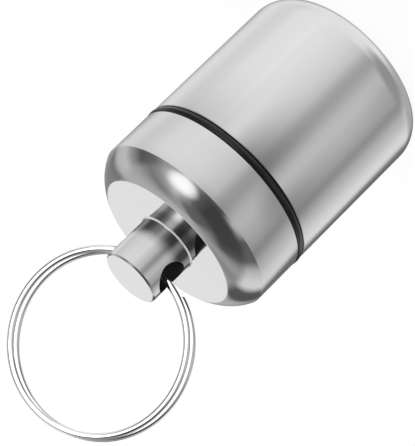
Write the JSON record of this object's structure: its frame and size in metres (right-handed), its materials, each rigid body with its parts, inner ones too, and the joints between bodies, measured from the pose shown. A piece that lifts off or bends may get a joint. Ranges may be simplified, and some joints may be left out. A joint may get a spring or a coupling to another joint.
{
  "type": "earplug case",
  "caption": "Turned aluminium earplug case: a threaded cup, a screw cap with a cross-drilled knob, a black rubber seal between them and a split ring through the knob.",
  "frame": {"origin": "centre of the container's flat underside, on which the case stands", "axes": "+Z along the case's axis towards the knob, +X along the knob's cross hole"},
  "size_m": [0.0252, 0.0252, 0.057],
  "materials": {
    "container_aluminium": "satin, brushed lengthwise",
    "cap_aluminium": "satin skirt, polished crown, face and knob",
    "seal_rubber": "smooth, slightly glossy",
    "ring_steel": "polished nickel-plated spring wire"
  },
  "bodies": {
    "cup": {"container": "container_aluminium"},
    "seal": {"o_ring": "seal_rubber"},
    "lid": {"cap": "cap_aluminium"},
    "ring": {"split_ring": "ring_steel"}
  },
  "joints": [
    {"name": "cap_turn", "type": "hinge", "parent": "cup", "child": "seal", "pos_m": [0, 0, 0.0234], "axis": [0, 0, 1], "range_deg": [0, 1620]},
    {"name": "cap_rise", "type": "slide", "parent": "seal", "child": "lid", "axis": [0, 0, 1], "range_m": [0, 0.00565]},
    {"name": "ring_swing", "type": "hinge", "parent": "lid", "child": "ring", "pos_m": [0, -0.0005, 0.0368], "axis": [1, 0, 0], "range_deg": [-134.5, 79.5]}
  ],
  "couplings": [
    {"joint": "cap_rise", "follows": "cap_turn", "m_per_rad": 0.00019894}
  ]
}
